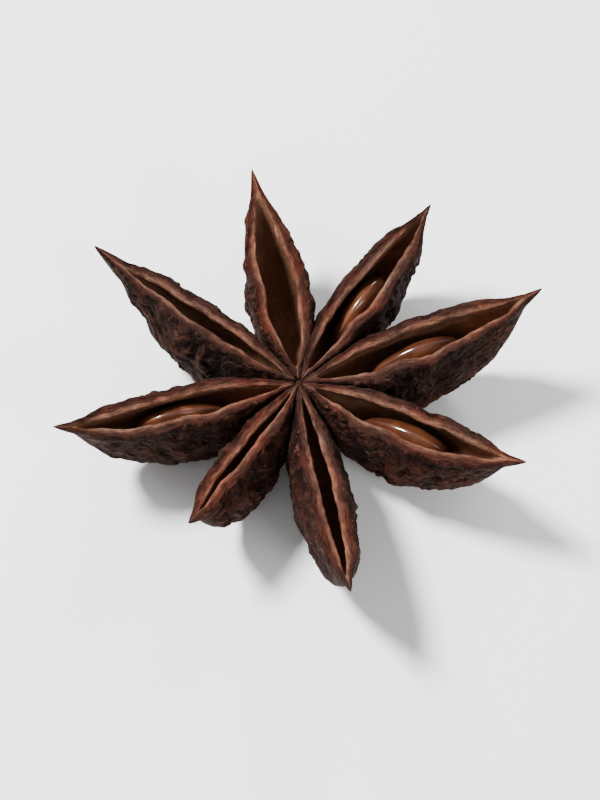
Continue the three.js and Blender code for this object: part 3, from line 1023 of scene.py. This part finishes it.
def lip_colour(n, rust):
    """Dark, streaked lips, stains, and a pale rim: the lip's own paler edge with painted highlight."""
    streaks = n.grain(**LIP_STREAKS)
    face = n.mix(rust, n.ramp(streaks, DULL_FACE), n.ramp(streaks, RUSTY_FACE))
    rim = n.mix(rust, n.ramp(streaks, DULL_RIM), n.ramp(streaks, RUSTY_RIM))
    stains = n.range(n.noise(**LIP_STAINS), *STAINS_GROW, 0.0, STAIN_SHARE)
    # Pale rim: the lip's own paler edge with painted highlight
    return n.mix(stains, n.mix(n.mark("rim"), face, rim), STAIN)


def wall_colour(n):
    """The pocket's pale, smooth wall, with painted shade darkening it towards its floor."""
    wall = n.ramp(n.grain(**WALL_STREAKS), PALE_WALL)
    # Painted shade darkens the wall towards the pocket's floor
    return n.mix(n.times(n.mark("pocket_shade"), POCKET_SHADE_SHARE), wall, SHADED_WALL)


def finest_relief(n, wrinkles, net):
    """Grain, wrinkles and puckers on the skin, and fibres on the lips."""
    grain = n.times(n.noise(**FINE_GRAIN), GRAIN_IN_RELIEF)
    skin = n.plus(grain, n.times(n.range(wrinkles, 0.0, 1.0), WRINKLES_IN_RELIEF))
    smooth = n.plus(n.mark("lip"), n.mark("inside"))
    skin = n.times(skin, n.minus(1.0, n.times(smooth, SMOOTHING)))
    puckers = n.times(n.range(net, *PUCKERS_GROW, 0.0, PUCKERS_IN_RELIEF), n.minus(1.0, smooth))
    fibres = n.times(n.grain(**LIP_FIBRES), n.times(n.mark("lip"), FIBRES_IN_RELIEF))
    return n.plus(n.plus(skin, puckers), fibres)


def husk_material():
    n = Nodes("husk")
    wrinkles, net = n.noise(**WRINKLES), n.net(**WRINKLE_NET)
    # Painted shade along the net's lines and in the wrinkles' creases
    net_line_shade = n.range(net, *NET_LINE_SHADE_GROWS, 0.0, NET_LINE_SHADE_SHARE)
    creases = n.math("MAXIMUM", n.range(wrinkles, *CREASE_SHADE_GROWS), net_line_shade)
    rust = rust_share(n)
    colour = n.mix(n.mark("lip"), outside_colour(n, creases, rust), lip_colour(n, rust))
    n.feed("Base Color", n.mix(n.mark("inside"), colour, wall_colour(n)))
    rough = n.range(n.noise(**SHINE_PATCHES), *SHINE_GROWS, *HUSK_ROUGHNESS)
    n.feed("Roughness", n.minus(rough, n.times(n.mark("inside"), SMOOTHER_INSIDE)))
    n.feed("Specular IOR Level", HUSK_SPECULAR)
    n.feed("Specular Tint", HUSK_SPECULAR_TINT)
    n.feed("Normal", n.bump(finest_relief(n, wrinkles, net), HUSK_BUMP))
    return n.material


def seed_material():
    n = Nodes("seed")
    skin = n.ramp(n.noise(**SEED_MOTTLE), SEED_SKIN)
    n.feed("Base Color", n.mix(n.mark("scar"), skin, SEED_SCAR))
    n.feed("Roughness", n.range(n.noise(**SEED_SHINE_PATCHES), *SHINE_GROWS, *SEED_ROUGHNESS))
    n.feed("Coat Weight", SEED_COAT)
    n.feed("Coat Roughness", SEED_COAT_ROUGHNESS)
    n.feed("Normal", n.bump(n.noise(**SEED_DIMPLES), **SEED_BUMP))
    return n.material


def floor_material():
    n = Nodes("floor")
    n.feed("Base Color", FLOOR_COLOUR)
    n.feed("Roughness", FLOOR_ROUGHNESS)
    return n.material


# --- the scene, in metres ---

FLOOR_HALF_WIDTH = 3.0
WORLD_STRENGTH = 0.55
LIGHTS_AIM = (0, 0, 0.004)

# Round lamps: name, place, width and power in watts
LIGHTS = (
    ("key", (-0.2, 0.1, 0.34), 0.09, 5.2),
    ("fill", (0.26, -0.26, 0.26), 0.2, 0.9),
    ("back", (0.1, 0.34, 0.2), 0.16, 1.0),
)


def add_floor():
    low, high = -FLOOR_HALF_WIDTH, FLOOR_HALF_WIDTH
    corners = [(low, low, 0), (high, low, 0), (high, high, 0), (low, high, 0)]
    floor = mesh_object("floor", corners, [(0, 1, 2, 3)])
    floor.data.materials.append(floor_material())


def aim(thing, target):
    thing.rotation_euler = (Vector(target) - thing.location).to_track_quat("-Z", "Y").to_euler()


def add_light(name, location, size, power):
    light = bpy.data.lights.new(name, "AREA")
    light.shape = "DISK"
    light.size = size
    light.energy = power
    lamp = bpy.data.objects.new(name, light)
    lamp.location = location
    bpy.context.scene.collection.objects.link(lamp)
    aim(lamp, LIGHTS_AIM)


def add_lights():
    world = bpy.data.worlds.new("studio")
    world.use_nodes = True
    background = world.node_tree.nodes["Background"]
    background.inputs["Color"].default_value = (1, 1, 1, 1)
    background.inputs["Strength"].default_value = WORLD_STRENGTH
    bpy.context.scene.world = world
    for light in LIGHTS:
        add_light(*light)


# The camera looks down on the pod's open side, at an elevation in degrees, through a lens in
# millimetres; the picture is 600 by 800 pixels
CAMERA_ELEVATION = 66
CAMERA_LENS = 120
CAMERA_CLIP_START = 0.01
POD_SHARE_OF_WIDTH = 0.8
PICTURE_ASPECT = 600 / 800


def add_camera(bounds):
    low, high = (Vector(corner) for corner in bounds)
    target = (low + high) / 2
    camera = bpy.data.objects.new("camera", bpy.data.cameras.new("camera"))
    camera.data.lens = CAMERA_LENS
    camera.data.clip_start = CAMERA_CLIP_START
    sensor_across = camera.data.sensor_width * PICTURE_ASPECT
    distance = (high.x - low.x) / POD_SHARE_OF_WIDTH * CAMERA_LENS / sensor_across
    elevation = math.radians(CAMERA_ELEVATION)
    camera.location = target + distance * Vector((0, -math.cos(elevation), math.sin(elevation)))
    bpy.context.scene.collection.objects.link(camera)
    aim(camera, target)
    bpy.context.scene.camera = camera


add_camera(cad_bounds)
add_lights()
add_floor()

husk = husk_piece()
husk.data.materials.clear()
husk.data.materials.append(husk_material())
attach(husk, "root")
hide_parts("husk")

seed_look = seed_material()
for number, seeded in enumerate([c for c in CARPELS if c["seed"]], start=1):
    seed = seed_piece(seeded, number)
    seed.data.materials.append(seed_look)
    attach(seed, "root")
    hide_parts(f"seed_{number}")
